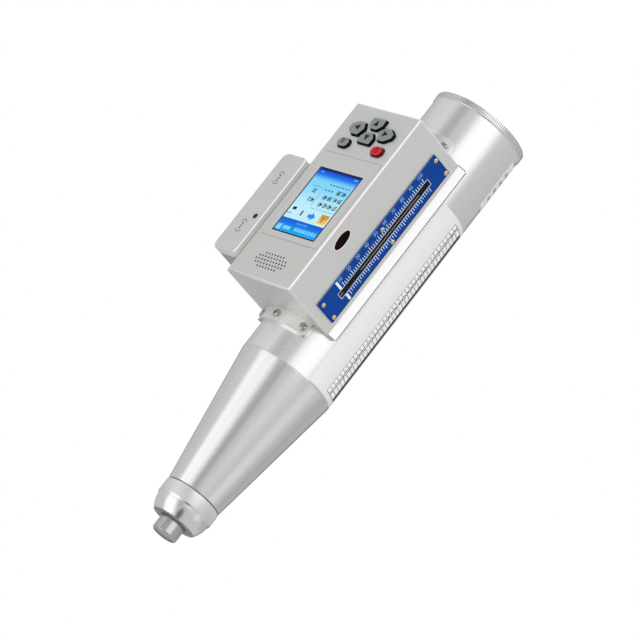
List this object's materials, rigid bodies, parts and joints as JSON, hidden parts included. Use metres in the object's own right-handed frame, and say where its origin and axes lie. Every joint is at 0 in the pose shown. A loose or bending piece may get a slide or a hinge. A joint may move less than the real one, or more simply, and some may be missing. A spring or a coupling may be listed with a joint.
{
  "type": "concrete test hammer",
  "caption": "Barrel-shaped rebound hammer for concrete: conical nose, spring-driven plunger and mass, and a display case with keys, rebound scale and battery holder.",
  "frame": {"origin": "centre of the rear cap's flat outer face", "axes": "+Z along the barrel to the plunger's tip, -Y out of the display, -X out of the scale, +X towards the battery holder"},
  "size_m": [0.0749, 0.0813, 0.2758],
  "materials": {
    "anodised_aluminium": "satin anodised, turned",
    "turned_steel": "finely turned",
    "polished_steel": "ground and polished",
    "dark_steel": "blackened",
    "spring_steel": "drawn wire",
    "zinc_steel": "zinc plated",
    "brass": "turned",
    "case_grey": "satin paint",
    "panel_grey": "satin printed foil",
    "holder_grey": "satin moulding",
    "scale_blue": "satin print",
    "clear_window": "clear",
    "infrared_red": "dark filter",
    "screen": "display glass",
    "key_rubber": "matt",
    "key_red": "matt",
    "board_green": "lacquered laminate",
    "black_plastic": "moulding",
    "rider_black": "moulding",
    "felt": "felt",
    "label_foil": "printed foil",
    "cell_wrap": "shrink wrap",
    "contact_brass": "plated strip",
    "lamp_red": "clear red"
  },
  "bodies": {
    "housing": {"barrel": "anodised_aluminium", "table_label": "label_foil", "rear_label": "label_foil", "rear_cap": "anodised_aluminium", "trip_screw": "dark_steel", "trip_lock_nut": "dark_steel", "return_spring": "spring_steel", "impact_spring": "spring_steel", "nose_cone": "anodised_aluminium", "guide_sleeve": "brass", "split_ring": "turned_steel", "felt_washer": "felt", "front_cap": "turned_steel", "lock_bush": "anodised_aluminium", "lock_spring": "spring_steel", "mount_saddle": "anodised_aluminium", "saddle_screws": "zinc_steel", "instrument_case": "case_grey", "case_screws": "zinc_steel", "scale_plate": "scale_blue", "scale_plate_screws": "brass", "scale_window": "clear_window", "rider_rod": "brass", "rider_sensor": "board_green", "infrared_window": "infrared_red", "infrared_emitter": "black_plastic", "display_panel": "panel_grey", "lcd_module": "screen", "key_guide": "black_plastic", "key_switches": "black_plastic", "main_board": "board_green", "board_screws": "zinc_steel", "speaker": "black_plastic", "battery_box": "holder_grey", "battery_cell": "cell_wrap", "battery_contacts": "contact_brass", "battery_box_screws": "zinc_steel"},
    "plunger_set": {"plunger": "polished_steel", "guide_bar": "polished_steel", "guide_disc": "anodised_aluminium", "pawl_pin": "dark_steel", "pawl_spring": "spring_steel", "retaining_spring": "spring_steel"},
    "pawl_body": {"pawl": "dark_steel"},
    "hammer": {"hammer_mass": "polished_steel"},
    "rider_body": {"rider": "rider_black"},
    "lock": {"lock_button": "dark_steel"},
    "left_key": {"key_left": "key_rubber"},
    "right_key": {"key_right": "key_rubber"},
    "front_key": {"key_front": "key_rubber"},
    "rear_key": {"key_rear": "key_rubber"},
    "menu_key": {"key_menu": "key_rubber"},
    "power_key": {"key_power": "key_red"},
    "lid": {"battery_lid": "holder_grey", "battery_lamp": "lamp_red"}
  },
  "joints": [
    {"name": "plunger_slide", "type": "slide", "parent": "housing", "child": "plunger_set", "axis": [0, 0, 1], "range_m": [0, 0.075], "deforming": ["return_spring"]},
    {"name": "pawl_pivot", "type": "hinge", "parent": "plunger_set", "child": "pawl_body", "pos_m": [0.0135, 0, 0.0235], "axis": [0, 1, 0], "range_deg": [0, 15], "stiffness_Nm_per_rad": 0.03, "springref_deg": -5.73, "deforming": ["pawl_spring"]},
    {"name": "hammer_slide", "type": "slide", "parent": "housing", "child": "hammer", "axis": [0, 0, 1], "range_m": [-0.075, 0], "stiffness_N_per_m": 785, "springref_m": 0.008, "deforming": ["impact_spring"]},
    {"name": "rider_slide", "type": "slide", "parent": "housing", "child": "rider_body", "axis": [0, 0, 1], "range_m": [-0.075, 0]},
    {"name": "lock_slide", "type": "slide", "parent": "housing", "child": "lock", "axis": [-1, 0, 0], "range_m": [0, 0.0024], "stiffness_N_per_m": 500, "springref_m": -0.002, "deforming": ["lock_spring"]},
    {"name": "left_key_press", "type": "slide", "parent": "housing", "child": "left_key", "axis": [0, 1, 0], "range_m": [0, 0.001], "stiffness_N_per_m": 400, "springref_m": -0.001},
    {"name": "right_key_press", "type": "slide", "parent": "housing", "child": "right_key", "axis": [0, 1, 0], "range_m": [0, 0.001], "stiffness_N_per_m": 400, "springref_m": -0.001},
    {"name": "front_key_press", "type": "slide", "parent": "housing", "child": "front_key", "axis": [0, 1, 0], "range_m": [0, 0.001], "stiffness_N_per_m": 400, "springref_m": -0.001},
    {"name": "rear_key_press", "type": "slide", "parent": "housing", "child": "rear_key", "axis": [0, 1, 0], "range_m": [0, 0.001], "stiffness_N_per_m": 400, "springref_m": -0.001},
    {"name": "menu_key_press", "type": "slide", "parent": "housing", "child": "menu_key", "axis": [0, 1, 0], "range_m": [0, 0.001], "stiffness_N_per_m": 400, "springref_m": -0.001},
    {"name": "power_key_press", "type": "slide", "parent": "housing", "child": "power_key", "axis": [0, 1, 0], "range_m": [0, 0.001], "stiffness_N_per_m": 400, "springref_m": -0.001},
    {"name": "lid_slide", "type": "slide", "parent": "housing", "child": "lid", "axis": [0, 0, 1], "range_m": [0, 0.008]}
  ],
  "couplings": [
    {"joint": "rider_slide", "follows": "hammer_slide", "ratio": 1}
  ]
}
